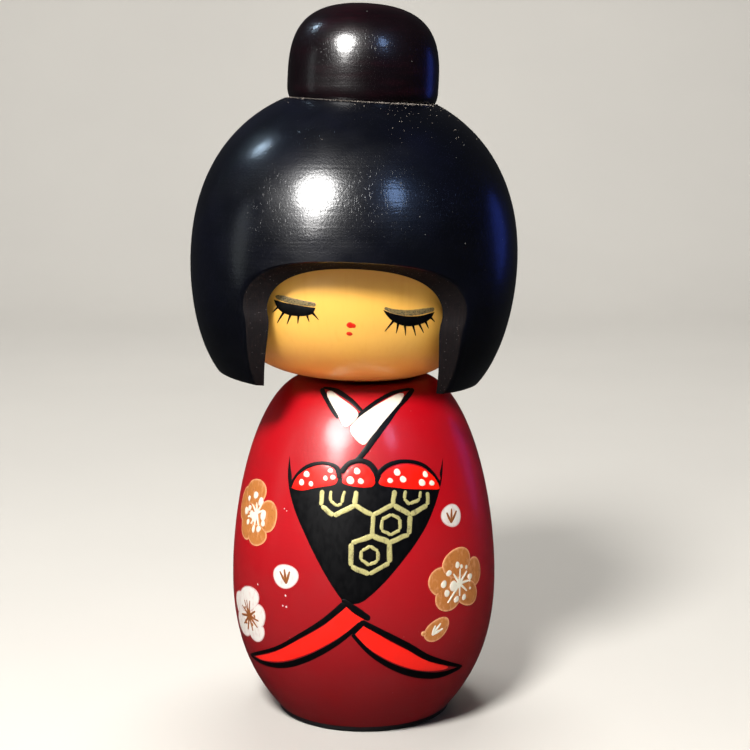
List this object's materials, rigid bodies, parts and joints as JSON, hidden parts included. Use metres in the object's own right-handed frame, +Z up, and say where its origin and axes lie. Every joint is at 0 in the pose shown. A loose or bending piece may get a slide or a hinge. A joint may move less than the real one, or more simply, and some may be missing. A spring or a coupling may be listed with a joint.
{
  "type": "kokeshi doll",
  "caption": "Turned wooden kokeshi doll with an egg-shaped painted body, a turning head, a hollow bobbed hair cap and a domed topknot.",
  "frame": {"origin": "centre of the flat base that the doll stands on", "axes": "+Z up along the body's turning axis; the doll faces -Y, and its right side is at -X"},
  "size_m": [0.0821, 0.0819, 0.18],
  "materials": {
    "red_lacquer": "gloss crimson lacquer with painted motifs",
    "face_lacquer": "satin clear lacquer over pale wood with a painted face",
    "black_lacquer": "gloss blue-black lacquer, matte where sawn",
    "topknot_lacquer": "gloss maroon-black lacquer",
    "bare_wood": "bare turned dowel"
  },
  "bodies": {
    "body": {"body": "red_lacquer", "neck_dowel": "bare_wood"},
    "head": {"head": "face_lacquer", "hair_cap": "black_lacquer", "crown_dowel": "bare_wood", "topknot": "topknot_lacquer"}
  },
  "joints": [
    {"name": "head_turn", "type": "hinge", "parent": "body", "child": "head", "pos_m": [-0.0039, 0, 0.0875], "axis": [0.0523, 0, 0.9986], "continuous": true}
  ]
}
